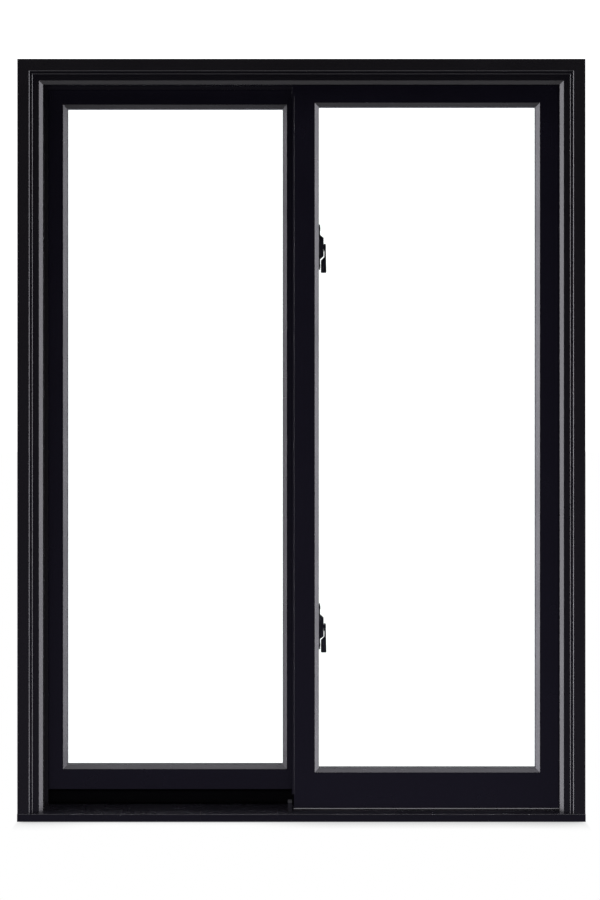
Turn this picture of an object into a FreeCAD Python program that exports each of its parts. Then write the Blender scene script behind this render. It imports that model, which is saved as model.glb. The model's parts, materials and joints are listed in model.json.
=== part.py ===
import FreeCAD
import Part
import math
import os
from FreeCAD import Placement, Rotation, Vector

# Horizontal sliding window: a moulded frame, a fixed sash at the front on the right and a sliding sash
# behind it on the left, locked to each other by two cam locks on the meeting stiles.
# Millimetres. X runs to the right seen from outside, Y from the outside into the room, Z up.
# Depths are counted back from the front of the sill nosing, Z from the underside of the sill.

# Frame
FRAME_WIDTH = 903.0
FRAME_HEIGHT = 1212.0
BAND_SETBACK = 3.0
BAND_WIDTH = 18.7
BAND_CHAMFER = 0.85
BAND_RADIUS = 0.9
STEP_WIDTH = 4.0
STEP_CHAMFER = 0.6
STEP_DROP = 3.0
FLAT_WIDTH = 10.0
BEVEL_WIDTH = 6.0
BEVEL_DROP = 4.9
REVEAL_DEPTH = 11.1
LIP_HEIGHT = 5.0
LIP_THICKNESS = 5.0
POCKET_SINK = 12.5
STOP_THICKNESS = 9.0
ROOM_EDGE_RADIUS = 2.0
KERF_DEPTH = 34.0
KERF_WIDTH = 3.2
KERF_SINK = 8.0

# Sill
NOSING_HEIGHT = 12.0
RAMP_RISE = 3.4
PAN_RISE = 3.6
RISER_SETBACK = 6.0
RISER_HEIGHT = 19.0
DAM_HEIGHT = 14.0
SILL_EDGE_RADIUS = 1.1
STRIP_RISE = 0.7
STRIP_NOSE = 1.2

# Sashes
SASH_THICKNESS = 32.0
SEAT_GAP = 0.3
FRONT_RUN = 8.0
BACK_RUN = 5.0
END_RUN = 6.0
BOTTOM_RUN = 5.0
FIXED_REACH = 15.0
SLIDING_REACH = 28.0
FIXED_SIDE_FACE = 30.55
FIXED_TOP_FACE = 27.85
FIXED_MEETING_FACE = 36.4
SLIDING_PULL_FACE = 34.65
SLIDING_LOCK_FACE = 51.4
SLIDING_BOTTOM_FACE = 32.3
SASH_FRONT_RADIUS = 0.4
SASH_BACK_RADIUS = 1.0
MEETING_LEDGE_WIDTH = 3.2
MEETING_LEDGE_DEPTH = 3.0
MEETING_LEDGE_STOP = 18.0
MEETING_ARRIS = 0.8
PULL_RAIL_INSET = 14.0
PULL_RAIL_WIDTH = 8.0
PULL_RAIL_RISE = 9.0
PULL_RAIL_TAPER = 1.5

# Glazing
BEAD_WIDTH = 6.5
BEAD_GAP = 0.5
BEAD_SINK = 0.5
BEAD_LIP = 1.6
GLASS_SETBACK = 7.6
PANE_THICKNESS = 3.0
AIR_SPACE = 12.0
GLASS_BITE = 6.0
SPACER_WIDTH = 5.0
SPACER_INSET = 0.8

# Running gear
TRACK_WIDTH = 4.0
TRACK_HEIGHT = 3.0
GROOVE_WIDTH = 14.0
ROLLER_GROOVE = 17.0
GUIDE_GROOVE = 11.5
GUIDE_END_GAP = 1.0
WHEEL_RADIUS = 8.0
WHEEL_FLANGE = 1.4
WHEEL_WIDTH = 9.0
TREAD_PLAY = 0.5
AXLE_RADIUS = 2.0
ROLLER_INSET = 95.0
RUNNING_FIT = 0.3
STOP_LENGTH = 30.0
STOP_HEIGHT = 40.0
STOP_WIDTH = 18.0

# Meeting stile hardware
INTERLOCK_WIDTH = 3.0
INTERLOCK_DEPTH = 7.0
DUST_BLOCK_WIDTH = 6.5
DUST_BLOCK_HEIGHT = 16.5
DUST_BLOCK_FRONT = 8.0
DUST_BLOCK_RADIUS = 2.0
LOCK_SPACING = 610.8
LOCK_PIVOT_INSET = 7.0
LOCK_PLATE_LENGTH = 72.6
LOCK_PLATE_WIDTH = 26.0
LOCK_PLATE_THICKNESS = 2.2
LOCK_PLATE_INSET = 1.5
LOCK_PLATE_CORNER = 4.0
LOCK_CASE_RADIUS = 20.0
LOCK_CASE_TOP_RADIUS = 15.0
LOCK_CASE_HEIGHT = 5.6
LOCK_CASE_WALL = 1.5
CAM_RADIUS = 14.8
CAM_WIDTH = 10.0
CAM_THICKNESS = 2.3
CAM_ROUND = 3.0
SPINDLE_RADIUS = 3.2
SPINDLE_FIT = 0.1
DRIVE_SQUARE = 4.4
LEVER_LENGTH = 41.6
LEVER_WIDTH = 11.0
LEVER_ARM = 2.4
LEVER_RELIEF = 0.8
LEVER_GRIP = 20.0
LEVER_HUB_WALL = 2.1
LEVER_HUB_ROUND = 4.5
LEVER_SWELL = 1.0
LEVER_TAPER = 1.0
LEVER_EDGE = 1.4
GRIP_CLEARANCE = 1.2
GRIP_ROUND = 1.8
GRIP_SLOPE = 5.5
GRIP_BLEND = 1.8
KEEPER_LENGTH = 39.0
KEEPER_FLANGE = 12.0
KEEPER_THICKNESS = 1.7

# Installation screws
SCREW_HOLE_RADIUS = 2.5
SCREW_SPACING = 800.0

# Depth planes, front to back
step_front = BAND_SETBACK + STEP_DROP
flat_front = step_front + STEP_DROP
bevel_back = flat_front + BEVEL_DROP
fixed_face = bevel_back + REVEAL_DEPTH
fixed_back = fixed_face + SASH_THICKNESS
lip_back = fixed_back + LIP_THICKNESS
sliding_face = lip_back + FRONT_RUN
sliding_back = sliding_face + SASH_THICKNESS
stop_front = sliding_back + BACK_RUN
frame_depth = stop_front + STOP_THICKNESS
track_depth = (sliding_face + sliding_back) / 2
riser_front = sliding_face + RISER_SETBACK

# Widths of the frame face, inward from the outer edge
half_width = FRAME_WIDTH / 2
step_start = BAND_WIDTH + BAND_CHAMFER
flat_start = step_start + STEP_WIDTH + STEP_CHAMFER
bevel_start = flat_start + FLAT_WIDTH
reveal = bevel_start + BEVEL_WIDTH
pocket = reveal - POCKET_SINK

# Heights of the sill
ramp_top = NOSING_HEIGHT + RAMP_RISE
pan_end = ramp_top + PAN_RISE
sill_step = pan_end + RISER_HEIGHT
dam_top = sill_step + DAM_HEIGHT
track_top = sill_step + TRACK_HEIGHT

rebate = BEAD_WIDTH + BEAD_GAP
glass_back = GLASS_SETBACK + 2 * PANE_THICKNESS + AIR_SPACE
reach = 2 * (FRAME_WIDTH + FRAME_HEIGHT)
OVERCUT = 1.0


def y_at(depth):
    return depth - frame_depth / 2


def pan_height(depth):
    """Top of the sill in front of the riser: a ramp as deep as the frame's moulding, then a gentle pan."""
    if depth < bevel_back:
        return NOSING_HEIGHT + RAMP_RISE * depth / bevel_back
    return ramp_top + PAN_RISE * (depth - bevel_back) / (riser_front - bevel_back)


class Sash:
    """Outer edges, glass sight lines and front plane of one sash."""

    def __init__(self, left, right, bottom, top, widths, face):
        self.left, self.right, self.bottom, self.top = left, right, bottom, top
        self.day_left = left + widths["left"]
        self.day_right = right - widths["right"]
        self.day_bottom = bottom + widths["bottom"]
        self.day_top = top - widths["top"]
        self.widths = widths
        self.face = face


fixed_top = FRAME_HEIGHT - reveal - SEAT_GAP
fixed_bottom = pan_height(fixed_back) + STRIP_RISE
sliding_top = FRAME_HEIGHT - pocket - END_RUN
sliding_bottom = sill_step + BOTTOM_RUN
sight_top = fixed_top - FIXED_TOP_FACE - BEAD_WIDTH
sight_bottom = sliding_bottom + SLIDING_BOTTOM_FACE + BEAD_WIDTH
sight_middle = (sight_top + sight_bottom) / 2

fixed = Sash(-FIXED_REACH, half_width - reveal - SEAT_GAP, fixed_bottom, fixed_top,
             {"left": FIXED_MEETING_FACE + BEAD_WIDTH, "right": FIXED_SIDE_FACE + BEAD_WIDTH,
              "bottom": sight_bottom - fixed_bottom, "top": fixed_top - sight_top}, fixed_face)
sliding = Sash(-half_width + pocket + END_RUN, SLIDING_REACH, sliding_bottom, sliding_top,
               {"left": SLIDING_PULL_FACE + BEAD_WIDTH, "right": SLIDING_LOCK_FACE + BEAD_WIDTH,
                "bottom": sight_bottom - sliding_bottom, "top": sliding_top - sight_top}, sliding_face)
lock_heights = {"upper": sight_middle + LOCK_SPACING / 2, "lower": sight_middle - LOCK_SPACING / 2}


def outline(corners, place):
    """Closed wire through (a, b) or (a, b, radius) corners, each placed in space by place(a, b)."""
    count = len(corners)
    flat = [Vector(corner[0], corner[1], 0) for corner in corners]
    radii = [corner[2] if len(corner) > 2 else 0 for corner in corners]
    spans = []
    for index in range(count):
        corner = flat[index]
        back = (flat[index - 1] - corner).normalize()
        ahead = (flat[(index + 1) % count] - corner).normalize()
        half = back.getAngle(ahead) / 2
        run = radii[index] / math.tan(half)
        middle = corner + (back + ahead).normalize() * (radii[index] / math.sin(half) - radii[index])
        spans.append((corner + back * run, middle, corner + ahead * run))
    edges = []
    for index in range(count):
        enter, middle, leave = [place(point.x, point.y) for point in spans[index]]
        after = place(spans[(index + 1) % count][0].x, spans[(index + 1) % count][0].y)
        if radii[index]:
            edges.append(Part.Arc(enter, middle, leave).toShape())
        edges.append(Part.makeLine(leave, after))
    return Part.Wire(edges)


def bar(corners, axis, origin, sign, face, start, end):
    """Extrusion of an (outward, depth) profile; outward runs from origin along sign on the given axis."""
    def place(outward, depth, along=start):
        position = origin + sign * outward
        if axis == "x":
            return Vector(position, y_at(face + depth), along)
        return Vector(along, y_at(face + depth), position)

    return Part.Face(outline(corners, place)).extrude(place(0, 0, end) - place(0, 0, start))


def slab(x0, x1, depth0, depth1, z0, z1):
    return Part.makeBox(x1 - x0, depth1 - depth0, z1 - z0, Vector(x0, y_at(depth0), z0))


def half_space(point, normal):
    """Everything on the side of a plane that its normal points to."""
    block = Part.makeBox(reach, reach, reach, Vector(-reach / 2, -reach / 2, 0))
    block.Placement = Placement(point, Rotation(Vector(0, 0, 1), normal))
    return block


def frame_profile():
    return [(0, BAND_SETBACK, BAND_RADIUS), (BAND_WIDTH, BAND_SETBACK),
            (step_start, BAND_SETBACK + BAND_CHAMFER), (step_start, step_front),
            (step_start + STEP_WIDTH, step_front), (flat_start, step_front + STEP_CHAMFER),
            (flat_start, flat_front), (bevel_start, flat_front), (reveal, bevel_back),
            (reveal, fixed_back), (reveal + LIP_HEIGHT, fixed_back), (reveal + LIP_HEIGHT, lip_back),
            (pocket, lip_back), (pocket, stop_front), (reveal, stop_front),
            (reveal, frame_depth, ROOM_EDGE_RADIUS), (0, frame_depth),
            (0, KERF_DEPTH + KERF_WIDTH), (KERF_SINK, KERF_DEPTH + KERF_WIDTH),
            (KERF_SINK, KERF_DEPTH), (0, KERF_DEPTH)]


def sill_profile():
    return [(0, 0), (NOSING_HEIGHT, 0, SILL_EDGE_RADIUS), (ramp_top, bevel_back), (pan_end, riser_front),
            (sill_step, riser_front), (sill_step, stop_front), (dam_top, stop_front, SILL_EDGE_RADIUS),
            (dam_top, frame_depth, ROOM_EDGE_RADIUS), (0, frame_depth)]


def build_frame():
    head = bar(frame_profile(), "z", FRAME_HEIGHT, -1, 0, -half_width, half_width)
    left = bar(frame_profile(), "x", -half_width, 1, 0, 0, FRAME_HEIGHT)
    right = bar(frame_profile(), "x", half_width, -1, 0, 0, FRAME_HEIGHT)
    sill = bar(sill_profile(), "z", 0, 1, 0, -half_width, half_width)
    for side in (-1, 1):
        corner = Vector(side * half_width, 0, FRAME_HEIGHT)
        head = head.cut(half_space(corner, Vector(side, 0, -1)))
    left = left.cut(half_space(Vector(-half_width, 0, FRAME_HEIGHT), Vector(1, 0, 1))).cut(sill)
    right = right.cut(half_space(Vector(half_width, 0, FRAME_HEIGHT), Vector(-1, 0, 1))).cut(sill)
    middle = FRAME_HEIGHT / 2
    for height in (middle - SCREW_SPACING / 2, middle + SCREW_SPACING / 2):
        outside = Vector(-half_width, y_at((fixed_face + fixed_back) / 2), height)
        left = left.cut(Part.makeCylinder(SCREW_HOLE_RADIUS, reveal, outside, Vector(1, 0, 0)))
        outside = Vector(half_width, y_at(track_depth), height)
        right = right.cut(Part.makeCylinder(SCREW_HOLE_RADIUS, reveal, outside, Vector(-1, 0, 0)))
    return {"head_jamb": head, "left_jamb": left, "right_jamb": right, "sill": sill}


def build_tracks():
    run = half_width - pocket - GUIDE_END_GAP
    track = slab(-half_width + reveal + LIP_HEIGHT, half_width - reveal - LIP_HEIGHT,
                 track_depth - TRACK_WIDTH / 2, track_depth + TRACK_WIDTH / 2, sill_step, track_top)
    guide_bottom = sliding_top - GUIDE_GROOVE + BACK_RUN
    guide = slab(-run, run, track_depth - TRACK_WIDTH / 2, track_depth + TRACK_WIDTH / 2,
                 guide_bottom, FRAME_HEIGHT - pocket)
    stop_end = half_width - pocket
    stop = slab(stop_end - STOP_LENGTH, stop_end, track_depth - STOP_WIDTH / 2, track_depth + STOP_WIDTH / 2,
                sight_bottom, sight_bottom + STOP_HEIGHT)
    return {"roller_track": track, "head_guide": guide, "sash_stop": stop}


def sash_profile(width):
    return [(width, 0, SASH_FRONT_RADIUS), (rebate, 0), (rebate, glass_back), (0, glass_back),
            (0, SASH_THICKNESS, SASH_BACK_RADIUS), (width, SASH_THICKNESS, SASH_BACK_RADIUS)]


def mitre_planes(sash):
    """Sight-line corners with the direction from the glass to each outer corner."""
    return {("left", "bottom"): (Vector(sash.day_left, 0, sash.day_bottom), -1, -1),
            ("left", "top"): (Vector(sash.day_left, 0, sash.day_top), -1, 1),
            ("right", "bottom"): (Vector(sash.day_right, 0, sash.day_bottom), 1, -1),
            ("right", "top"): (Vector(sash.day_right, 0, sash.day_top), 1, 1)}


def mitred(shape, sash, side):
    """Cuts the ends of one side's bar along the 45 degree lines through the sight-line corners."""
    for (stile, rail), (corner, out_x, out_z) in mitre_planes(sash).items():
        if side == stile:
            shape = shape.cut(half_space(corner, Vector(-out_x, 0, out_z)))
        elif side == rail:
            shape = shape.cut(half_space(corner, Vector(out_x, 0, -out_z)))
    return shape


def four_sides(sash, profiles, ends):
    """Left, right, bottom and top bars of one sash from (outward, depth) profiles."""
    left = bar(profiles["left"], "x", sash.day_left, -1, sash.face, ends["bottom"], ends["top"])
    right = bar(profiles["right"], "x", sash.day_right, 1, sash.face, ends["bottom"], ends["top"])
    bottom = bar(profiles["bottom"], "z", sash.day_bottom, -1, sash.face, ends["left"], ends["right"])
    top = bar(profiles["top"], "z", sash.day_top, 1, sash.face, ends["left"], ends["right"])
    bars = {"left": left, "right": right, "bottom": bottom, "top": top}
    return {side: mitred(shape, sash, side) for side, shape in bars.items()}


def members(sash):
    profiles = {side: sash_profile(width) for side, width in sash.widths.items()}
    ends = {"left": sash.left, "right": sash.right, "bottom": sash.bottom, "top": sash.top}
    return four_sides(sash, profiles, ends)


def beads(sash, name):
    section = [(BEAD_WIDTH, BEAD_SINK), (0, GLASS_SETBACK - BEAD_LIP), (0, GLASS_SETBACK),
               (BEAD_WIDTH, GLASS_SETBACK)]
    ends = {"left": sash.day_left - BEAD_WIDTH, "right": sash.day_right + BEAD_WIDTH,
            "bottom": sash.day_bottom - BEAD_WIDTH, "top": sash.day_top + BEAD_WIDTH}
    sides = four_sides(sash, dict.fromkeys(ends, section), ends)
    return {name + "_" + side + "_bead": shape for side, shape in sides.items()}


def glass(sash, name):
    left, right = sash.day_left - GLASS_BITE, sash.day_right + GLASS_BITE
    bottom, top = sash.day_bottom - GLASS_BITE, sash.day_top + GLASS_BITE
    outer = sash.face + GLASS_SETBACK
    air = outer + PANE_THICKNESS
    inner = air + AIR_SPACE
    far, near = SPACER_INSET + SPACER_WIDTH, SPACER_INSET
    x0, x1 = sash.day_left - far, sash.day_right + far
    z0, z1 = sash.day_bottom - near, sash.day_top + near
    bars = [slab(x0, sash.day_left - near, air, inner, z0, z1),
            slab(sash.day_right + near, x1, air, inner, z0, z1),
            slab(x0, x1, air, inner, sash.day_bottom - far, z0 - BEAD_GAP),
            slab(x0, x1, air, inner, z1 + BEAD_GAP, sash.day_top + far)]
    return {name + "_outer_pane": slab(left, right, outer, air, bottom, top),
            name + "_inner_pane": slab(left, right, inner, inner + PANE_THICKNESS, bottom, top),
            name + "_spacer_bars": Part.makeCompound(bars)}


def meeting_ledge(stile):
    """Rebates the free edge of the fixed meeting stile, up to the top rail, and rounds its arris."""
    arris = fixed.left + MEETING_LEDGE_WIDTH
    front, back = fixed_face - OVERCUT, fixed_face + MEETING_LEDGE_DEPTH
    stile = stile.cut(slab(fixed.left - OVERCUT, arris, front, back,
                           fixed.bottom - OVERCUT, fixed.top - MEETING_LEDGE_STOP))
    near = MEETING_ARRIS / 10
    edges = [edge for edge in stile.Edges if all(
        abs(end.X - arris) < near and abs(end.Y - y_at(fixed_face)) < near for end in edge.Vertexes)]
    return stile.makeFillet(MEETING_ARRIS, edges)


def build_fixed_sash():
    sides = members(fixed)
    rail_left = fixed.left + MEETING_LEDGE_WIDTH
    rail_end = half_space(Vector(rail_left, 0, 0), Vector(-1, 0, 0))
    parts = {"fixed_meeting_stile": meeting_ledge(sides["left"]), "fixed_side_stile": sides["right"],
             "fixed_bottom_rail": sides["bottom"].cut(rail_end), "fixed_top_rail": sides["top"]}
    parts.update(beads(fixed, "fixed"))
    parts.update(glass(fixed, "fixed"))
    nose = fixed_face - STRIP_NOSE
    strip = [(pan_height(nose), nose), (fixed_bottom - STRIP_NOSE, nose), (fixed_bottom, fixed_face),
             (fixed_bottom, fixed_back), (pan_height(fixed_back), fixed_back)]
    parts["fixed_sill_strip"] = bar(strip, "z", 0, 1, 0, rail_left, fixed.right)
    front, back = DUST_BLOCK_FRONT, fixed_face + STRIP_NOSE
    block = [(pan_height(front), front), (pan_height(front) + DUST_BLOCK_HEIGHT, front, DUST_BLOCK_RADIUS),
             (pan_height(back) + DUST_BLOCK_HEIGHT, back, DUST_BLOCK_RADIUS), (pan_height(back), back),
             (ramp_top, bevel_back)]
    parts["sill_dust_block"] = bar(block, "z", 0, 1, 0, fixed.left - DUST_BLOCK_WIDTH, fixed.left)
    fin_left = fixed.left + INTERLOCK_WIDTH
    parts["meeting_interlock"] = slab(fin_left, fin_left + INTERLOCK_WIDTH, fixed_back,
                                      fixed_back + INTERLOCK_DEPTH, dam_top, sight_top + FIXED_TOP_FACE)
    return parts


def pull_rail():
    """Raised finger rail down the room side of the pull stile."""
    near, far = PULL_RAIL_INSET, PULL_RAIL_INSET + PULL_RAIL_WIDTH
    corners = [(near, 0), (near + PULL_RAIL_TAPER, PULL_RAIL_RISE, SASH_BACK_RADIUS),
               (far - PULL_RAIL_TAPER, PULL_RAIL_RISE, SASH_BACK_RADIUS), (far, 0)]
    return bar(corners, "x", sliding.left, 1, sliding_back, sliding.day_bottom, sliding.day_top)


def roller(x):
    """Flanged wheel on its axle, running just clear of the track."""
    tread = TRACK_WIDTH / 2 + TREAD_PLAY
    half = WHEEL_WIDTH / 2
    rim = WHEEL_RADIUS + WHEEL_FLANGE
    half_section = [(0, -half), (rim, -half), (rim, -tread), (WHEEL_RADIUS, -tread),
                    (WHEEL_RADIUS, tread), (rim, tread), (rim, half), (0, half)]
    centre = Vector(x, y_at(track_depth), track_top + RUNNING_FIT + WHEEL_RADIUS)
    wire = outline(half_section, lambda out, along: centre + Vector(0, along, out))
    wheel = Part.Face(wire).revolve(centre, Vector(0, 1, 0), 360)
    axle_start = centre - Vector(0, GROOVE_WIDTH / 2, 0)
    return wheel.fuse(Part.makeCylinder(AXLE_RADIUS, GROOVE_WIDTH, axle_start, Vector(0, 1, 0)))


def build_sliding_sash():
    sides = members(sliding)
    groove0, groove1 = track_depth - GROOVE_WIDTH / 2, track_depth + GROOVE_WIDTH / 2
    left, right = sliding.left - OVERCUT, sliding.right + OVERCUT
    top_groove = slab(left, right, groove0, groove1, sliding.top - GUIDE_GROOVE, sliding.top + OVERCUT)
    bottom_groove = slab(left, right, groove0, groove1,
                         sliding.bottom - OVERCUT, sliding.bottom + ROLLER_GROOVE)
    sides = {side: shape.cut(top_groove).cut(bottom_groove) for side, shape in sides.items()}
    pull_stile = sides["left"].fuse(pull_rail()).removeSplitter()
    parts = {"sash_pull_stile": pull_stile, "sash_meeting_stile": sides["right"],
             "sash_bottom_rail": sides["bottom"], "sash_top_rail": sides["top"]}
    parts.update(beads(sliding, "sash"))
    parts.update(glass(sliding, "sash"))
    parts["left_roller"] = roller(sliding.left + ROLLER_INSET)
    parts["right_roller"] = roller(sliding.right - ROLLER_INSET)
    return parts


def prism(corners, thickness, place, direction):
    return Part.Face(outline(corners, place)).extrude(direction * thickness)


def lock_case():
    """Plate and conical cover; local origin on the stile edge at the pivot, X away from the stile."""
    front = LOCK_PLATE_INSET - LOCK_PIVOT_INSET
    back = front + LOCK_PLATE_WIDTH
    half = LOCK_PLATE_LENGTH / 2
    corners = [(y, z, LOCK_PLATE_CORNER) for y, z in
               ((front, -half), (back, -half), (back, half), (front, half))]
    plate = prism(corners, LOCK_PLATE_THICKNESS, lambda y, z: Vector(0, y, z), Vector(1, 0, 0))
    base = Vector(LOCK_PLATE_THICKNESS, 0, 0)
    cover = Part.makeCone(LOCK_CASE_RADIUS, LOCK_CASE_TOP_RADIUS, LOCK_CASE_HEIGHT, base, Vector(1, 0, 0))
    taper = (LOCK_CASE_RADIUS - LOCK_CASE_TOP_RADIUS) / LOCK_CASE_HEIGHT
    room = LOCK_CASE_HEIGHT - LOCK_CASE_WALL
    wide = LOCK_CASE_RADIUS - LOCK_CASE_WALL
    cavity = Part.makeCone(wide, wide - taper * room, room, base, Vector(1, 0, 0))
    hole = Part.makeCylinder(SPINDLE_RADIUS + SPINDLE_FIT, LOCK_CASE_HEIGHT + OVERCUT, base,
                             Vector(1, 0, 0))
    cover = cover.cut(cavity).cut(hole).cut(half_space(Vector(0, front, 0), Vector(0, -1, 0)))
    return plate.fuse(cover).removeSplitter()


def lock_lever():
    """Hub, thin arm and thick grip in one casting with the spindle, pointing down."""
    case_top = LOCK_PLATE_THICKNESS + LOCK_CASE_HEIGHT
    under = case_top + RUNNING_FIT
    arm = under + LEVER_RELIEF
    outer = arm + LEVER_ARM
    grip_top = LEVER_GRIP - LEVER_LENGTH
    grip_under = LOCK_PLATE_THICKNESS + GRIP_CLEARANCE
    hub = SPINDLE_RADIUS + LEVER_HUB_WALL
    collar = -hub - LEVER_EDGE
    side = [(under, hub), (outer, hub, LEVER_EDGE), (outer + LEVER_SWELL, -LEVER_LENGTH, GRIP_ROUND),
            (grip_under, -LEVER_LENGTH, GRIP_ROUND), (grip_under, grip_top, GRIP_BLEND),
            (arm, grip_top + GRIP_SLOPE, GRIP_BLEND), (arm, collar), (under, collar)]
    width = LEVER_WIDTH
    half = width / 2
    tip = half - LEVER_TAPER
    plan = [(-half, hub, LEVER_HUB_ROUND), (half, hub, LEVER_HUB_ROUND), (tip, -LEVER_LENGTH, GRIP_ROUND),
            (-tip, -LEVER_LENGTH, GRIP_ROUND)]
    body = prism(side, width, lambda x, z: Vector(x, -half, z), Vector(0, 1, 0))
    body = body.common(prism(plan, 2 * outer, lambda y, z: Vector(0, y, z), Vector(1, 0, 0)))
    drive_end = LOCK_PLATE_THICKNESS + RUNNING_FIT
    cam_top = drive_end + RUNNING_FIT + CAM_THICKNESS
    spindle = Part.makeCylinder(SPINDLE_RADIUS, under - cam_top, Vector(cam_top, 0, 0), Vector(1, 0, 0))
    drive = Part.makeBox(cam_top - drive_end, DRIVE_SQUARE, DRIVE_SQUARE,
                         Vector(drive_end, -DRIVE_SQUARE / 2, -DRIVE_SQUARE / 2))
    return body.fuse(spindle).fuse(drive).removeSplitter()


def lock_cam():
    """Cam plate on the square drive, lying inside the cover with its nose towards the room."""
    bottom = LOCK_PLATE_THICKNESS + 2 * RUNNING_FIT
    half = CAM_WIDTH / 2
    corners = [(y, z, CAM_ROUND) for y, z in
               ((-half, -half), (CAM_RADIUS, -half), (CAM_RADIUS, half), (-half, half))]
    plate = prism(corners, CAM_THICKNESS, lambda y, z: Vector(bottom, y, z), Vector(1, 0, 0))
    square = Part.makeBox(CAM_THICKNESS, DRIVE_SQUARE, DRIVE_SQUARE,
                          Vector(bottom, -DRIVE_SQUARE / 2, -DRIVE_SQUARE / 2))
    return plate.cut(square)


def keeper():
    """Angle bracket on the room side of the fixed meeting stile; its lip hooks the turned cam."""
    lip_out = LOCK_PLATE_THICKNESS + LOCK_CASE_HEIGHT
    half = KEEPER_LENGTH / 2
    short = half - (LOCK_CASE_RADIUS - LOCK_CASE_TOP_RADIUS)
    corners = [(-KEEPER_FLANGE, -half), (0, -half), (lip_out, -short), (lip_out, short), (0, half),
               (-KEEPER_FLANGE, half)]
    back = fixed_back - sliding_face - LOCK_PIVOT_INSET
    flange = prism(corners, KEEPER_THICKNESS, lambda x, z: Vector(x, back, z), Vector(0, 1, 0))
    lip = Part.makeBox(KEEPER_THICKNESS, INTERLOCK_DEPTH, 2 * short,
                       Vector(lip_out - KEEPER_THICKNESS, back, -short))
    return flange.fuse(lip).removeSplitter()


def build_locks():
    pieces = {"lock_case": lock_case(), "lock_lever": lock_lever(), "lock_cam": lock_cam(),
              "keeper": keeper()}
    parts = {}
    for level, height in lock_heights.items():
        pivot = Vector(SLIDING_REACH, y_at(sliding_face + LOCK_PIVOT_INSET), height)
        for name, shape in pieces.items():
            parts[level + "_" + name] = shape.translated(pivot)
    return parts


nodes = {}
nodes.update(build_frame())
nodes.update(build_tracks())
nodes.update(build_fixed_sash())
nodes.update(build_sliding_sash())
nodes.update(build_locks())

os.makedirs("parts", exist_ok=True)
for node, shape in nodes.items():
    shape.exportStep("parts/" + node + ".step")
    print(node, shape.ShapeType, len(shape.Solids), round(shape.Volume / 1000, 1), shape.isValid())
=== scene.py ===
import json
import math
import bmesh
import bpy
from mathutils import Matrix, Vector


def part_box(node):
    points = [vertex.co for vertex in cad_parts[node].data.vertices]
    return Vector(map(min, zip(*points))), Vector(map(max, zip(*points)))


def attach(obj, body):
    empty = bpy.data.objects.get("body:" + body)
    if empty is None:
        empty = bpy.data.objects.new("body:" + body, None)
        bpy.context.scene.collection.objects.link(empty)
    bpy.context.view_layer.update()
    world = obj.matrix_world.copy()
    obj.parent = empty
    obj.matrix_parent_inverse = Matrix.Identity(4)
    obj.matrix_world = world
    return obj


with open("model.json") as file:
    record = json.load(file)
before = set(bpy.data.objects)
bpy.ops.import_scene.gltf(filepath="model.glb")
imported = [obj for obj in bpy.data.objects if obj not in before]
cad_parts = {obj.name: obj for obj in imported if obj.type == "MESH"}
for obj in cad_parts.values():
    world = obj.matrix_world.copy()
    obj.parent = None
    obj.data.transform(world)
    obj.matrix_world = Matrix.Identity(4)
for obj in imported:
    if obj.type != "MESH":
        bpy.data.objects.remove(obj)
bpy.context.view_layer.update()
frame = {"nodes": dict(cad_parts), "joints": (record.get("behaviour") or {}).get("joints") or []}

# Horizontal sliding window, dressed. Metres, in the frame's own axes: X to the right seen from outside,
# Y from the outside into the room, Z up from the underside of the sill.

MM = 0.001
scene = bpy.context.scene

# Studio light: its level from each way, and the edges of the soft boxes and of the front glow as shares of a
# unit arrow along Y and Z
LEFT_LIGHT = 8.9
RIGHT_LIGHT = 7.8
TOP_LIGHT = 4.7
FLOOR_LIGHT = 1.3
BACK_LIGHT = 0.5
FRONT_LIGHT_LOW = 0.47
FRONT_LIGHT_HIGH = 0.007
WHITE_SURROUND = 1.35
LAMP_COLOUR = "#f8f6ff"
FRONT_COLOUR = "#dad2ff"
BOX_FRONT_EDGE = (-0.4, -0.2)
BOX_BACK_EDGE = (0.6, 0.15)
FRONT_SLOPE = (-0.4, 0.12)
FRONT_FOOT = (-0.65, -0.4)

# Floor and the shadow at the foot of the sill, in millimetres
FLOOR_SIZE = 40000.0
SHADOW_REACH = 115.0
SHADOW_END_INSIDE = 14.0
SHADOW_END_OUTSIDE = 2.0
SHADOW_COLOUR = "#b6b6b6"
DEEPEST_SHADOW = 0.5
SHADOW_RAYS = 16

# Camera that the photograph was taken with: its place in metres, its lens and sensor in millimetres
CAMERA_PLACE = (0.0, -5.555, 0.7488)
CAMERA_LENS = 138.48
CAMERA_SENSOR = 36.0
CAMERA_SHIFT = (-0.0015, -0.1108)

# Small parts, in millimetres
SEAL_WIDTH = 0.15
SEAL_DEPTH = 0.9
RING_ROUND = 0.1
SPACER_INSET = 0.8
LINER_PLAY = 0.1
LIP_THICKNESS = 5.0
STOP_GAP = 5.0
PILE_WIDTH = 5.0
PILE_CLEARANCE = 0.6
PILE_TUFT = 3.5
PILE_RAGGED = 0.4
PILE_INSET = 3.0
RISER_SETBACK = 6.0
BULB_DEPTH = 4.0
BULB_HEIGHT = 18.5
BULB_CLEARANCE = 0.4
PLATE_THICKNESS = 2.2
PLATE_SCREW_INSET = 6.5
PLATE_SCREW_OFFSET = 2.0
KEEPER_THICKNESS = 1.7
KEEPER_SCREW_INSET = 7.0
KEEPER_SCREW_SIDE = 6.0
HUB_REACH = 11.3
SCREW_RADIUS = 3.2
SCREW_RISE = 0.5
RIVET_RADIUS = 2.6
RIVET_RISE = 0.35

# Small parts, as shares of their own size: the pile at its tips, the bulb's round, a head's round, crown and
# cross, and the height of the lower screw in the sash stop
PILE_TIP = 0.75
BULB_ROUND = 0.8
HEAD_ROUND = 0.8
CROWN_INSET = 0.3
CROWN_RISE = 0.12
CROSS_REACH = 0.55
CROSS_HALF_WIDTH = 0.12
CROSS_FLOOR = 0.35
STOP_SCREW_SHARE = 0.25

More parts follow.
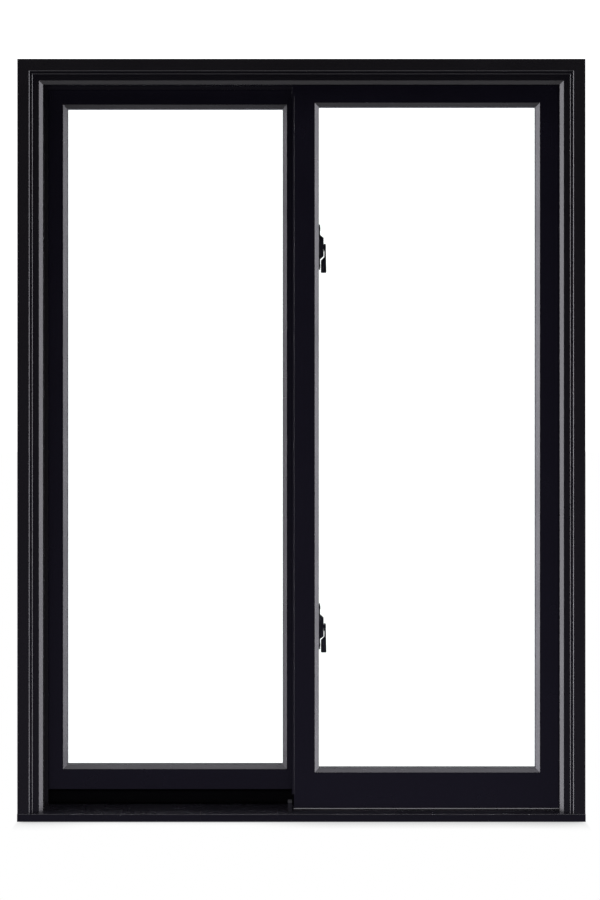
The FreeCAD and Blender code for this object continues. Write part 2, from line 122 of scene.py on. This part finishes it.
# Modelling: how near a point lies to count as on a plane, the least cosine of a face that faces a way, the
# sharpest edge that is smoothed, the sides of a round head, and how a pile strip is cut and made ragged
ON_PLANE = 0.01 * MM
FACING = 0.99
SMOOTH_ANGLE = math.radians(35)
HEAD_SIDES = 28
PILE_GROUPS = 100
PILE_SEED = 3


def linear(colour):
    """Linear RGBA of an sRGB hex colour."""
    channels = [int(colour[start:start + 2], 16) / 255 for start in (1, 3, 5)]
    return [c / 12.92 if c <= 0.04045 else ((c + 0.055) / 1.055) ** 2.4 for c in channels] + [1.0]


def add(tree, kind, inputs, **settings):
    """Adds one node with its settings; an input is a value or the output socket that feeds it."""
    made = tree.nodes.new("ShaderNode" + kind)
    for name, value in settings.items():
        setattr(made, name, value)
    for name, value in inputs.items():
        if isinstance(value, bpy.types.NodeSocket):
            tree.links.new(value, made.inputs[name])
        else:
            made.inputs[name].default_value = value
    return made


def blank_material(name):
    """A new material with an empty node tree."""
    material = bpy.data.materials.new(name)
    material.use_nodes = True
    material.node_tree.nodes.clear()
    return material, material.node_tree


# Finishes

def baked_enamel(name, deep, pale, roughness):
    """Polyester enamel, sprayed and baked on extruded aluminium: a deep satin black, cool on the sashes, that
    mirrors soft light in its chamfers, with a faint orange peel and a slightly uneven gloss."""
    material, tree = blank_material(name)
    place = add(tree, "TexCoord", {}).outputs["Object"]
    peel_size = 3.0 * MM      # real peel is about 1 mm; drawn three times coarser so that it shows
    peel_height = 0.12 * MM
    cloud_size = 90.0 * MM
    gloss_spread = 0.03
    peel = add(tree, "TexNoise", {"Vector": place, "Scale": 1 / peel_size, "Detail": 1.0})
    cloud = add(tree, "TexNoise", {"Vector": place, "Scale": 1 / cloud_size, "Detail": 3.0})
    gloss = add(tree, "MapRange", {"Value": cloud.outputs["Fac"], "From Min": 0.3, "From Max": 0.7,
                                   "To Min": roughness - gloss_spread, "To Max": roughness + gloss_spread})
    tint = add(tree, "Mix", {"Factor": cloud.outputs["Fac"], "A": linear(deep), "B": linear(pale)},
               data_type="RGBA")
    bump = add(tree, "Bump", {"Height": peel.outputs["Fac"], "Strength": 0.05, "Distance": peel_height})
    shader = add(tree, "BsdfPrincipled", {
        "Base Color": tint.outputs["Result"], "Roughness": gloss.outputs["Result"], "IOR": 1.52,
        "Normal": bump.outputs["Normal"]})
    add(tree, "OutputMaterial", {"Surface": shader.outputs["BSDF"]})
    return material


def float_glass():
    """Clear float glass, drawn flat on molten tin: no colour of its own in so thin a pane, and a mirror
    sheen at a slant. Real glass has an index of 1.5; it is lower so that no mirror image veils the locks."""
    material, tree = blank_material("clear_float_glass")
    shader = add(tree, "BsdfPrincipled", {"Base Color": linear("#fbfdfc"), "Roughness": 0.0, "IOR": 1.25,
                                          "Transmission Weight": 1.0})
    add(tree, "OutputMaterial", {"Surface": shader.outputs["BSDF"]})
    return material


def coated_spacer():
    """Steel spacer bar in a black polymer coat, rolled with fine ribs across: dull, with a soft ribbed
    sheen between the panes."""
    material, tree = blank_material("black_coated_spacer")
    place = add(tree, "TexCoord", {}).outputs["Object"]
    rib_pitch = 3.0 * MM
    wave_scale = 2 * math.pi / (10 * rib_pitch)    # a diagonal wave goes through 10 radians in each unit
    ribs = add(tree, "TexWave", {"Vector": place, "Scale": wave_scale, "Distortion": 0.0},
               bands_direction="DIAGONAL")
    bump = add(tree, "Bump", {"Height": ribs.outputs["Fac"], "Strength": 0.15, "Distance": 0.1 * MM})
    shade = add(tree, "Mix", {"Factor": ribs.outputs["Fac"], "A": linear("#0b0b0d"), "B": linear("#141416")},
                data_type="RGBA")
    shader = add(tree, "BsdfPrincipled", {"Base Color": shade.outputs["Result"], "Roughness": 0.3,
                                          "Normal": bump.outputs["Normal"]})
    add(tree, "OutputMaterial", {"Surface": shader.outputs["BSDF"]})
    return material


def powder_coated_zinc():
    """Zinc die casting in black powder coat: a fine even grain that breaks up the highlight, a little
    glossier where hands rub it."""
    material, tree = blank_material("powder_coated_zinc")
    place = add(tree, "TexCoord", {}).outputs["Object"]
    grain_size = 0.8 * MM     # real grain is about 0.3 mm; drawn coarser so that it shows
    rub_size = 14.0 * MM
    grain = add(tree, "TexNoise", {"Vector": place, "Scale": 1 / grain_size, "Detail": 2.0})
    rub = add(tree, "TexNoise", {"Vector": place, "Scale": 1 / rub_size, "Detail": 2.0})
    gloss = add(tree, "MapRange", {"Value": rub.outputs["Fac"], "From Min": 0.35, "From Max": 0.65,
                                   "To Min": 0.34, "To Max": 0.5})
    tint = add(tree, "Mix", {"Factor": grain.outputs["Fac"], "A": linear("#0a0a0c"), "B": linear("#111113")},
               data_type="RGBA")
    bump = add(tree, "Bump", {"Height": grain.outputs["Fac"], "Strength": 0.25, "Distance": 0.1 * MM})
    shader = add(tree, "BsdfPrincipled", {
        "Base Color": tint.outputs["Result"], "Roughness": gloss.outputs["Result"], "IOR": 1.5,
        "Normal": bump.outputs["Normal"]})
    add(tree, "OutputMaterial", {"Surface": shader.outputs["BSDF"]})
    return material


def mill_aluminium():
    """Extruded aluminium left as it came from the die: pale grey, with long fine die lines down the bar."""
    material, tree = blank_material("mill_aluminium")
    place = add(tree, "TexCoord", {}).outputs["Object"]
    line_width = 0.6 * MM     # real die lines are about 0.2 mm; drawn coarser so that they show
    line_length = 120.0 * MM
    along = add(tree, "Mapping", {"Vector": place,
                                  "Scale": (1 / line_length, 1 / line_width, 1 / line_width)})
    lines = add(tree, "TexNoise", {"Vector": along.outputs["Vector"], "Scale": 1.0, "Detail": 3.0})
    gloss = add(tree, "MapRange", {"Value": lines.outputs["Fac"], "From Min": 0.3, "From Max": 0.7,
                                   "To Min": 0.28, "To Max": 0.45})
    tint = add(tree, "Mix", {"Factor": lines.outputs["Fac"], "A": linear("#a9abad"), "B": linear("#c8cacc")},
               data_type="RGBA")
    bump = add(tree, "Bump", {"Height": lines.outputs["Fac"], "Strength": 0.15, "Distance": 0.05 * MM})
    shader = add(tree, "BsdfPrincipled", {
        "Base Color": tint.outputs["Result"], "Roughness": gloss.outputs["Result"], "Metallic": 1.0,
        "Normal": bump.outputs["Normal"]})
    add(tree, "OutputMaterial", {"Surface": shader.outputs["BSDF"]})
    return material


def moulded_nylon():
    """Black nylon, injection moulded: dark and waxy, with a dull patch here and there."""
    material, tree = blank_material("moulded_nylon")
    place = add(tree, "TexCoord", {}).outputs["Object"]
    patch_size = 6.0 * MM
    patch = add(tree, "TexNoise", {"Vector": place, "Scale": 1 / patch_size, "Detail": 2.0})
    gloss = add(tree, "MapRange", {"Value": patch.outputs["Fac"], "To Min": 0.3, "To Max": 0.5})
    tint = add(tree, "Mix", {"Factor": patch.outputs["Fac"], "A": linear("#19191b"), "B": linear("#242426")},
               data_type="RGBA")
    shader = add(tree, "BsdfPrincipled", {
        "Base Color": tint.outputs["Result"], "Roughness": gloss.outputs["Result"], "IOR": 1.53,
        "Subsurface Weight": 0.1, "Subsurface Radius": (2 * MM, 1.6 * MM, 1.2 * MM)})
    add(tree, "OutputMaterial", {"Surface": shader.outputs["BSDF"]})
    return material


def epdm_rubber(name, dark, bloom, index=1.5):
    """Extruded EPDM rubber: matt charcoal with a greyish bloom and a faint skin grain. A lower index than
    1.5 dulls its sheen."""
    material, tree = blank_material(name)
    place = add(tree, "TexCoord", {}).outputs["Object"]
    skin_size = 1.2 * MM      # real skin grain is about 0.3 mm; drawn coarser so that it shows
    bloom_size = 9.0 * MM
    skin = add(tree, "TexNoise", {"Vector": place, "Scale": 1 / skin_size, "Detail": 3.0})
    cloud = add(tree, "TexNoise", {"Vector": place, "Scale": 1 / bloom_size, "Detail": 3.0})
    tint = add(tree, "Mix", {"Factor": cloud.outputs["Fac"], "A": linear(dark), "B": linear(bloom)},
               data_type="RGBA")
    bump = add(tree, "Bump", {"Height": skin.outputs["Fac"], "Strength": 0.3, "Distance": 0.15 * MM})
    shader = add(tree, "BsdfPrincipled", {"Base Color": tint.outputs["Result"], "Roughness": 0.55,
                                          "IOR": index, "Normal": bump.outputs["Normal"]})
    add(tree, "OutputMaterial", {"Surface": shader.outputs["BSDF"]})
    return material


def polypropylene_pile():
    """Woven polypropylene pile: dark grey fibres standing close together, each catching a little light."""
    material, tree = blank_material("polypropylene_pile")
    place = add(tree, "TexCoord", {}).outputs["Object"]
    fibre_width = 0.4 * MM    # real fibres are about 0.03 mm; drawn as tufts so that they show
    fibre_length = 7.0 * MM
    stretch = add(tree, "Mapping", {"Vector": place,
                                    "Scale": (1 / fibre_width, 1 / fibre_length, 1 / fibre_width)})
    fibres = add(tree, "TexNoise", {"Vector": stretch.outputs["Vector"], "Scale": 1.0, "Detail": 2.0})
    tint = add(tree, "Mix", {"Factor": fibres.outputs["Fac"], "A": linear("#0d0d0f"), "B": linear("#3a3a3e")},
               data_type="RGBA")
    bump = add(tree, "Bump", {"Height": fibres.outputs["Fac"], "Strength": 0.8, "Distance": 0.4 * MM})
    shader = add(tree, "BsdfPrincipled", {
        "Base Color": tint.outputs["Result"], "Roughness": 0.85, "Sheen Weight": 0.3,
        "Sheen Roughness": 0.5, "Normal": bump.outputs["Normal"]})
    add(tree, "OutputMaterial", {"Surface": shader.outputs["BSDF"]})
    return material


def blackened_steel():
    """Cold-headed steel screws in black zinc: dark, half shiny, with a little bare metal rubbed through."""
    material, tree = blank_material("black_zinc_steel")
    place = add(tree, "TexCoord", {}).outputs["Object"]
    rub_size = 1.5 * MM
    rub = add(tree, "TexNoise", {"Vector": place, "Scale": 1 / rub_size, "Detail": 4.0})
    tint = add(tree, "MapRange", {"Value": rub.outputs["Fac"], "From Min": 0.6, "From Max": 0.75})
    colour = add(tree, "Mix", {"Factor": tint.outputs["Result"], "A": linear("#48484c"),
                               "B": linear("#7a7a7e")}, data_type="RGBA")
    gloss = add(tree, "MapRange", {"Value": rub.outputs["Fac"], "To Min": 0.25, "To Max": 0.45})
    shader = add(tree, "BsdfPrincipled", {"Base Color": colour.outputs["Result"], "Metallic": 1.0,
                                          "Roughness": gloss.outputs["Result"]})
    add(tree, "OutputMaterial", {"Surface": shader.outputs["BSDF"]})
    return material


# One enamel in lighter and darker copies: the sashes' and beads' are drawn darker than the frame's, as
# painted shade for their place set back in the frame
finishes = {
    "frame_finish": baked_enamel("baked_enamel_frame", "#1b1a18", "#1f1e1c", 0.25),
    "sash_finish": baked_enamel("baked_enamel_sash", "#0f0d17", "#13111b", 0.25),
    "bead_finish": baked_enamel("baked_enamel_bead", "#0c0a11", "#0f0d15", 0.27),
    "glass": float_glass(),
    "spacer": coated_spacer(),
    "hardware": powder_coated_zinc(),
    "track_metal": mill_aluminium(),
    "roller_nylon": moulded_nylon(),
    "soft_block": epdm_rubber("epdm_block", "#0f0f11", "#171719"),
}
seal_rubber = epdm_rubber("epdm_glazing_seal", "#0a0a0b", "#111113")
# The bulb's near-black colour and dulled sheen are painted shade for the hollow under the sliding sash, which
# it fills
bulb_shade_rubber = epdm_rubber("epdm_bulb_painted_shade", "#030304", "#060607", 1.25)
pile = polypropylene_pile()
screw_steel = blackened_steel()

for node in frame["nodes"].values():
    node.data.materials[0] = finishes[node.data.materials[0].name]
# The sill's enamel is drawn darker than the rest of the frame's, as painted shade for the sill under the
# sashes
frame["nodes"]["sill"].data.materials[0] = baked_enamel("baked_enamel_sill_painted_shade", "#111014", "#141318", 0.27)


# Modelling by hand

def middle(item):
    """Centre of an edge or a face of the mesh being edited."""
    return sum((vertex.co for vertex in item.verts), Vector()) / len(item.verts)


def choose(kind, wanted):
    """Selects just those edges or faces of the mesh being edited that pass a test."""
    bpy.ops.mesh.select_mode(type=kind)
    bpy.ops.mesh.select_all(action="DESELECT")
    form = bmesh.from_edit_mesh(bpy.context.edit_object.data)
    for item in form.edges if kind == "EDGE" else form.faces:
        item.select_set(bool(wanted(item)))
    form.select_flush_mode()
    bmesh.update_edit_mesh(bpy.context.edit_object.data)


def box_between(low, high):
    """A cube stretched between two corners, open for editing."""
    bpy.ops.object.select_all(action="DESELECT")
    bpy.ops.mesh.primitive_cube_add(size=1, location=(low + high) / 2)
    piece = bpy.context.object
    piece.scale = high - low
    bpy.ops.object.transform_apply(location=True, rotation=True, scale=True)
    bpy.ops.object.mode_set(mode="EDIT")
    return piece


def seat(piece, name, body, finish):
    """Closes editing and hands a finished piece to the body that carries it."""
    bpy.ops.mesh.select_all(action="SELECT")
    bpy.ops.mesh.normals_make_consistent(inside=False)
    bpy.ops.object.mode_set(mode="OBJECT")
    bpy.ops.object.shade_smooth_by_angle(angle=SMOOTH_ANGLE)
    piece.name = name
    piece.data.name = name
    piece.data.materials.append(finish)
    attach(piece, body)


def glazing_ring(sash, front, back, outside, inside):
    """Ring round the glass of a sash between two depths; its edges lie outside and inside the sight line."""
    left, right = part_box(sash + "_left_bead")[1].x - outside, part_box(sash + "_right_bead")[0].x + outside
    low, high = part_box(sash + "_bottom_bead")[1].z - outside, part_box(sash + "_top_bead")[0].z + outside
    bpy.ops.object.select_all(action="DESELECT")
    bpy.ops.mesh.primitive_plane_add(size=1, rotation=(math.pi / 2, 0, 0),
                                     location=((left + right) / 2, front, (low + high) / 2))
    piece = bpy.context.object
    piece.scale = (right - left, high - low, 1)
    bpy.ops.object.transform_apply(location=True, rotation=True, scale=True)
    bpy.ops.object.mode_set(mode="EDIT")
    bpy.ops.mesh.select_all(action="SELECT")
    bpy.ops.mesh.inset(thickness=outside + inside)
    bpy.ops.mesh.delete(type="FACE")
    bpy.ops.mesh.select_all(action="SELECT")
    bpy.ops.mesh.extrude_region_move(TRANSFORM_OT_translate={"value": (0, back - front, 0)})
    near = (outside + inside) / 2
    choose("EDGE", lambda edge: abs(middle(edge).y - back) < ON_PLANE
           and all(left + near < v.co.x < right - near and low + near < v.co.z < high - near
                   for v in edge.verts))
    bpy.ops.mesh.bevel(offset=RING_ROUND * MM, segments=3)
    return piece


def pile_strip(name, low, high, free_side):
    """Brush strip between two corners, cut into groups and then into tufts; its fibres end, a little ragged
    and thinned, on the free Y side."""
    size = high - low
    run = max(range(3), key=lambda axis: size[axis])
    piece = box_between(low, high)
    tufts = max(2, round(size[run] / (PILE_GROUPS * PILE_TUFT * MM)))
    for cuts in (PILE_GROUPS - 1, tufts - 1):
        choose("EDGE", lambda edge: abs((edge.verts[0].co - edge.verts[1].co)[run]) > ON_PLANE)
        bpy.ops.mesh.subdivide(number_cuts=cuts)
    tip = high.y if free_side > 0 else low.y
    choose("FACE", lambda face: abs(middle(face).y - tip) < ON_PLANE)
    thin = [1.0, 1.0, 1.0]
    thin[0 if run == 2 else 2] = PILE_TIP
    bpy.ops.transform.resize(value=thin, center_override=(low + high) / 2)
    bpy.ops.transform.vertex_random(offset=PILE_RAGGED * MM, uniform=1.0, normal=0.0, seed=PILE_SEED)
    bpy.ops.transform.translate(value=(0, -free_side * PILE_RAGGED * MM, 0))
    seat(piece, name, "frame", pile)


def add_glazing():
    """Rubber line on both faces of each glass unit, and a coated liner on its spacer bars."""
    depth, width, play = SEAL_DEPTH * MM, SEAL_WIDTH * MM, LINER_PLAY * MM
    for sash, body in (("fixed", "frame"), ("sash", "sash")):
        outer_front, outer_back = [corner.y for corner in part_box(sash + "_outer_pane")]
        inner_front, inner_back = [corner.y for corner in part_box(sash + "_inner_pane")]
        seal = glazing_ring(sash, outer_front, outer_front - depth, 0, width)
        seat(seal, sash + "_outer_seal", body, seal_rubber)
        seal = glazing_ring(sash, inner_back, inner_back + depth, 0, width)
        seat(seal, sash + "_room_seal", body, seal_rubber)
        liner = glazing_ring(sash, outer_back + play, inner_front - play, SPACER_INSET * MM, -play)
        seat(liner, sash + "_spacer_liner", body, finishes["spacer"])


def add_weatherstrips():
    """Pile between the frame and the sliding sash: behind the parting lip, on the room-side stop and on
    the interlock."""
    sash_low, sash_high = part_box("sash_meeting_stile")
    left_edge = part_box("sash_pull_stile")[0].x
    front, back = sash_low.y, sash_high.y
    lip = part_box("fixed_side_stile")[1].y + LIP_THICKNESS * MM
    stop = back + STOP_GAP * MM
    gap = PILE_CLEARANCE * MM
    width = PILE_WIDTH * MM
    inset = PILE_INSET * MM
    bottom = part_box("roller_track")[1].z + PILE_WIDTH * MM
    x0 = left_edge + inset
    z1 = sash_high.z - inset
    pile_strip("jamb_front_pile", Vector((x0, lip, bottom)), Vector((x0 + width, front - gap, z1 - width)), 1)
    pile_strip("head_front_pile", Vector((x0, lip, z1 - width)), Vector((sash_high.x, front - gap, z1)), 1)
    pile_strip("jamb_back_pile", Vector((x0, back + gap, bottom)), Vector((x0 + width, stop, z1 - width)), -1)
    pile_strip("head_back_pile", Vector((x0, back + gap, z1 - width)), Vector((sash_high.x, stop, z1)), -1)
    fin_low, fin_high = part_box("meeting_interlock")
    pile_strip("interlock_pile", Vector((fin_low.x, fin_high.y, fin_low.z)),
               Vector((fin_high.x, front - gap, fin_high.z)), 1)


def add_riser_shade_bulb():
    """Soft near-black bulb along the sill's riser, shaped as a draught seal and put there as painted shade
    for the hollow under the sliding sash.
    """
    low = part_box("sash_bottom_rail")[0]
    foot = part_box("roller_track")[0].z
    left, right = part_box("left_jamb")[1].x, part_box("right_jamb")[0].x
    riser = low.y + RISER_SETBACK * MM
    piece = box_between(Vector((left, riser - BULB_DEPTH * MM, foot - BULB_HEIGHT * MM)),
                        Vector((right, riser, low.z - BULB_CLEARANCE * MM)))
    choose("EDGE", lambda edge: abs(edge.verts[0].co.x - edge.verts[1].co.x) > ON_PLANE
           and middle(edge).y < riser - ON_PLANE)
    bpy.ops.mesh.bevel(offset=BULB_DEPTH * MM * BULB_ROUND, segments=5)
    seat(piece, "riser_shade_bulb", "frame", bulb_shade_rubber)


def pan_head(radius, rise):
    """Low domed head on the origin, its crown towards +Z."""
    bpy.ops.object.select_all(action="DESELECT")
    bpy.ops.mesh.primitive_cylinder_add(vertices=HEAD_SIDES, radius=radius, depth=rise,
                                        location=(0, 0, rise / 2))
    piece = bpy.context.object
    bpy.ops.object.transform_apply(location=True, rotation=True, scale=True)
    bpy.ops.object.mode_set(mode="EDIT")
    choose("EDGE", lambda edge: all(v.co.z > rise - ON_PLANE for v in edge.verts))
    bpy.ops.mesh.bevel(offset=rise * HEAD_ROUND, segments=4)
    choose("FACE", lambda face: face.normal.z > FACING and middle(face).z > rise - ON_PLANE)
    bpy.ops.mesh.inset(thickness=radius * CROWN_INSET)
    bpy.ops.transform.translate(value=(0, 0, rise * CROWN_RISE))
    bpy.ops.object.mode_set(mode="OBJECT")
    return piece


def cross_recess(piece, radius, rise):
    """Sinks a cross into a finished head."""
    half = radius * CROSS_HALF_WIDTH
    reach = radius * CROSS_REACH - half
    above = 2 * rise
    cutter = box_between(Vector((-half, -half, rise * CROSS_FLOOR)), Vector((half, half, above)))
    for way in ((1, 0), (-1, 0), (0, 1), (0, -1)):
        choose("FACE", lambda face: face.normal.x * way[0] + face.normal.y * way[1] > FACING
               and abs(middle(face).x * way[0] + middle(face).y * way[1] - half) < ON_PLANE)
        bpy.ops.mesh.extrude_region_move(
            TRANSFORM_OT_translate={"value": (way[0] * reach, way[1] * reach, 0)})
    bpy.ops.mesh.select_all(action="SELECT")
    bpy.ops.mesh.normals_make_consistent(inside=False)
    bpy.ops.object.mode_set(mode="OBJECT")
    bpy.ops.object.select_all(action="DESELECT")
    bpy.context.view_layer.objects.active = piece
    piece.select_set(True)
    cut = piece.modifiers.new("cross", "BOOLEAN")
    cut.object = cutter
    bpy.ops.object.modifier_apply(modifier=cut.name)
    bpy.data.objects.remove(cutter)


def place_copies(model, places, finish):
    """Copies a finished head to each named place; turn is the head's direction away from its seat."""
    for name, body, spot, turn in places:
        bpy.ops.object.select_all(action="DESELECT")
        bpy.context.view_layer.objects.active = model
        model.select_set(True)
        bpy.ops.object.duplicate(linked=False)
        piece = bpy.context.object
        piece.rotation_euler = Vector((0, 0, 1)).rotation_difference(turn).to_euler()
        piece.location = spot
        bpy.ops.object.transform_apply(location=True, rotation=True, scale=True)
        bpy.ops.object.mode_set(mode="EDIT")
        seat(piece, name, body, finish)
    bpy.data.objects.remove(model)


def add_fasteners():
    """Cross-recess screws in the lock plates, keepers and sash stop, and a rivet on each lever."""
    screws = []
    rivets = []
    away = Vector((1, 0, 0))
    room = Vector((0, 1, 0))
    for level in ("upper", "lower"):
        low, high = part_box(level + "_lock_case")
        inset = PLATE_SCREW_INSET * MM
        across = (low.y + high.y) / 2 + PLATE_SCREW_OFFSET * MM
        for end, height in (("top", high.z - inset), ("bottom", low.z + inset)):
            spot = Vector((low.x + PLATE_THICKNESS * MM, across, height))
            screws.append((level + "_lock_screw_" + end, "sash", spot, away))
        low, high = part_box(level + "_keeper")
        inset = KEEPER_SCREW_INSET * MM
        for end, height in (("top", high.z - inset), ("bottom", low.z + inset)):
            spot = Vector((low.x + KEEPER_SCREW_SIDE * MM, low.y + KEEPER_THICKNESS * MM, height))
            screws.append((level + "_keeper_screw_" + end, "frame", spot, room))
        pivot = next(j for j in frame["joints"] if j["name"] == level + "_lock_turn")["pos_m"]
        hub_face = Vector(pivot) + away * HUB_REACH * MM
        rivets.append((level + "_lever_rivet", level + "_lever", hub_face, away))
    low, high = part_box("sash_stop")
    for end, share in (("top", 1 - STOP_SCREW_SHARE), ("bottom", STOP_SCREW_SHARE)):
        spot = Vector((low.x, (low.y + high.y) / 2, low.z + (high.z - low.z) * share))
        screws.append(("sash_stop_screw_" + end, "frame", spot, -away))
    head = pan_head(SCREW_RADIUS * MM, SCREW_RISE * MM)
    cross_recess(head, SCREW_RADIUS * MM, SCREW_RISE * MM)
    place_copies(head, screws, screw_steel)
    place_copies(pan_head(RIVET_RADIUS * MM, RIVET_RISE * MM), rivets, screw_steel)


add_glazing()
add_weatherstrips()
add_riser_shade_bulb()
add_fasteners()


# Studio

def studio_world():
    """White where the camera looks past the window. The window itself is lit by soft boxes from both sides,
    above and below, by a little light from the room side, and by a cool glow just under the horizon."""
    world = bpy.data.worlds.new("studio")
    scene.world = world
    world.use_nodes = True
    tree = world.node_tree
    tree.nodes.clear()
    way = add(tree, "SeparateXYZ", {"Vector": add(tree, "TexCoord", {}).outputs["Generated"]}).outputs
    left = add(tree, "Math", {0: way["X"], 1: 0.0}, operation="MINIMUM").outputs[0]
    right = add(tree, "Math", {0: way["X"], 1: 0.0}, operation="MAXIMUM").outputs[0]
    up = add(tree, "Math", {0: way["Z"], 1: 0.0}, operation="MAXIMUM").outputs[0]
    down = add(tree, "Math", {0: way["Z"], 1: 0.0}, operation="MINIMUM").outputs[0]
    back = add(tree, "Math", {0: way["Y"], 1: 0.0}, operation="MAXIMUM").outputs[0]
    boxes = 0.0
    for aim, level in ((left, LEFT_LIGHT), (right, RIGHT_LIGHT), (up, TOP_LIGHT), (down, FLOOR_LIGHT)):
        squared = add(tree, "Math", {0: aim, 1: aim}, operation="MULTIPLY").outputs[0]
        boxes = add(tree, "Math", {0: squared, 1: level, 2: boxes}, operation="MULTIPLY_ADD").outputs[0]
    for near, far in (BOX_FRONT_EDGE, BOX_BACK_EDGE):
        edge = add(tree, "MapRange", {"Value": way["Y"], "From Min": near, "From Max": far},
                   interpolation_type="SMOOTHSTEP").outputs["Result"]
        boxes = add(tree, "Math", {0: boxes, 1: edge}, operation="MULTIPLY").outputs[0]
    strength = add(tree, "Math", {0: back, 1: BACK_LIGHT, 2: boxes}, operation="MULTIPLY_ADD").outputs[0]
    slope = add(tree, "MapRange", {"Value": way["Z"], "From Min": FRONT_SLOPE[0], "From Max": FRONT_SLOPE[1],
                                   "To Min": FRONT_LIGHT_LOW, "To Max": FRONT_LIGHT_HIGH}).outputs["Result"]
    foot = add(tree, "MapRange", {"Value": way["Z"], "From Min": FRONT_FOOT[0],
                                  "From Max": FRONT_FOOT[1]}).outputs["Result"]
    front = add(tree, "Math", {0: slope, 1: foot}, operation="MULTIPLY").outputs[0]
    ray = add(tree, "LightPath", {}).outputs
    bounces = add(tree, "Math", {0: ray["Diffuse Depth"], 1: ray["Glossy Depth"]}, operation="ADD").outputs[0]
    under_one = 0.5
    direct = add(tree, "Math", {0: bounces, 1: under_one}, operation="LESS_THAN").outputs[0]
    through = add(tree, "Math", {0: ray["Is Transmission Ray"], 1: direct}, operation="MULTIPLY").outputs[0]
    seen = add(tree, "Math", {0: ray["Is Camera Ray"], 1: through}, operation="MAXIMUM").outputs[0]
    lamps = add(tree, "Background", {"Color": linear(LAMP_COLOUR), "Strength": strength})
    glow = add(tree, "Background", {"Color": linear(FRONT_COLOUR), "Strength": front})
    lit = add(tree, "AddShader", {0: lamps.outputs[0], 1: glow.outputs[0]})
    white = add(tree, "Background", {"Color": linear("#ffffff"), "Strength": WHITE_SURROUND})
    both = add(tree, "MixShader", {0: seen, 1: lit.outputs[0], 2: white.outputs[0]})
    add(tree, "OutputWorld", {"Surface": both.outputs[0]})


def studio_floor():
    """White paper, lit evenly, with a faint shadow along the foot of the sill and none beyond its ends."""
    bpy.ops.object.select_all(action="DESELECT")
    bpy.ops.mesh.primitive_plane_add(size=FLOOR_SIZE * MM)
    floor = bpy.context.object
    floor.name = "studio_floor"
    material, tree = blank_material("white_paper")
    near = add(tree, "AmbientOcclusion", {"Distance": SHADOW_REACH * MM}, samples=SHADOW_RAYS)
    openness = add(tree, "MapRange", {"Value": near.outputs["AO"], "From Min": DEEPEST_SHADOW})
    place = add(tree, "SeparateXYZ", {"Vector": add(tree, "TexCoord", {}).outputs["Object"]}).outputs
    aside = add(tree, "Math", {0: place["X"]}, operation="ABSOLUTE").outputs[0]
    sill_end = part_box("sill")[1].x
    beyond = add(tree, "MapRange", {
        "Value": aside, "From Min": sill_end - SHADOW_END_INSIDE * MM,
        "From Max": sill_end + SHADOW_END_OUTSIDE * MM}).outputs["Result"]
    clear = add(tree, "Math", {0: openness.outputs["Result"], 1: beyond}, operation="MAXIMUM").outputs[0]
    shade = add(tree, "Mix", {"Factor": clear, "A": linear(SHADOW_COLOUR), "B": linear("#ffffff")},
                data_type="RGBA")
    paper = add(tree, "Emission", {"Color": shade.outputs["Result"]})
    add(tree, "OutputMaterial", {"Surface": paper.outputs[0]})
    floor.data.materials.append(material)
    floor.visible_diffuse = False
    floor.visible_glossy = False
    floor.visible_transmission = False


def studio_camera():
    """Camera square on to the outside of the window."""
    camera = bpy.data.objects.new("camera", bpy.data.cameras.new("camera"))
    scene.collection.objects.link(camera)
    camera.location = CAMERA_PLACE
    camera.rotation_euler = (math.pi / 2, 0, 0)
    camera.data.lens = CAMERA_LENS
    camera.data.sensor_width = CAMERA_SENSOR
    camera.data.shift_x, camera.data.shift_y = CAMERA_SHIFT
    scene.camera = camera


studio_world()
studio_floor()
studio_camera()
scene.view_settings.view_transform = "Standard"
